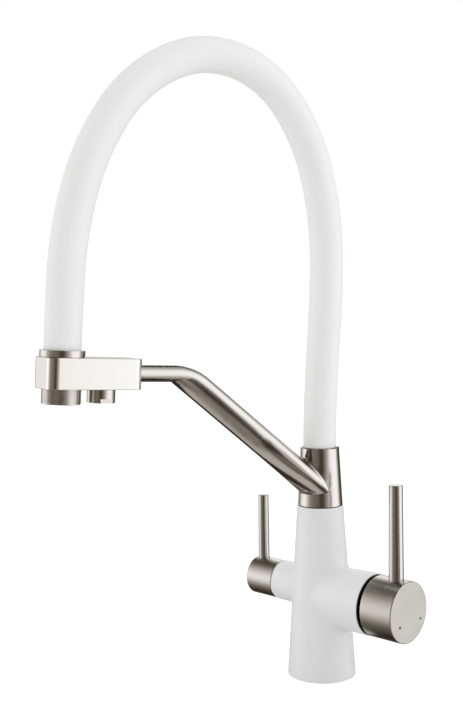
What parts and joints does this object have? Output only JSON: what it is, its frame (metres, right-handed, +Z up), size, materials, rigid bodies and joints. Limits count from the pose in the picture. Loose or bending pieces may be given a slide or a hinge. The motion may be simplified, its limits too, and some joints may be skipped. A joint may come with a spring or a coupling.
{
  "type": "kitchen mixer tap",
  "caption": "Tall kitchen mixer tap with a tapered white column, side mixer and filter knobs with pin levers, and a swivelling arm that holds an arched white hose over its outlets.",
  "frame": {"origin": "centre of the underside of the column, on the worktop plane", "axes": "+Z up along the column, +X along the mixer branch, -X along the filter branch; at rest the spout points towards -Y, swung 12.8 degrees towards -X"},
  "size_m": [0.1412, 0.2387, 0.4546],
  "materials": {
    "white_coat": "satin powder coat",
    "brushed_nickel": "brushed",
    "white_silicone": "smooth matte",
    "brass": "machined",
    "steel": "machined",
    "black_rubber": "matte",
    "black_plastic": "matte",
    "cartridge_plastic": "moulded",
    "aerator_plastic": "moulded"
  },
  "bodies": {
    "tap_body": {"body_casting": "white_coat", "base_gasket": "black_rubber", "inlet_block": "brass", "mixer_cartridge": "cartridge_plastic", "cartridge_nut": "black_plastic", "branch_end_ring": "black_plastic", "filter_headwork": "brass", "swivel_spigot": "brass", "bearing_washer": "black_plastic", "spigot_o_ring_lower": "black_rubber", "spigot_o_ring_upper": "black_rubber"},
    "spout": {"swivel_arm": "brushed_nickel", "collar_grub_screw": "steel", "spout_hose": "white_silicone", "hose_tail_lower": "brass", "hose_ring": "brushed_nickel", "hose_tail_upper": "brass", "holder_block": "brushed_nickel", "main_outlet": "brushed_nickel", "main_aerator": "aerator_plastic", "filter_outlet": "brushed_nickel", "filter_aerator": "aerator_plastic", "arm_grub_screw": "steel"},
    "mixer_turn": {"cartridge_rotor": "cartridge_plastic", "stem_pin": "steel"},
    "mixer_lift": {"cartridge_stem": "steel", "mixer_knob": "brushed_nickel", "mixer_lever": "brushed_nickel"},
    "filter_valve": {"filter_spindle": "brass", "filter_knob": "brushed_nickel", "filter_lever": "brushed_nickel"}
  },
  "joints": [
    {"name": "spout_swivel", "type": "hinge", "parent": "tap_body", "child": "spout", "pos_m": [0, 0, 0.1267], "axis": [0, 0, 1], "continuous": true},
    {"name": "mixer_temperature", "type": "hinge", "parent": "tap_body", "child": "mixer_turn", "pos_m": [0.0271, 0, 0.0605], "axis": [1, 0, 0], "range_deg": [-45, 45]},
    {"name": "mixer_flow", "type": "hinge", "parent": "mixer_turn", "child": "mixer_lift", "pos_m": [0.0271, 0, 0.0605], "axis": [0, 1, 0], "range_deg": [0, 20]},
    {"name": "filter_turn", "type": "hinge", "parent": "tap_body", "child": "filter_valve", "pos_m": [-0.05, 0, 0.063], "axis": [1, 0, 0], "range_deg": [0, 90]}
  ]
}
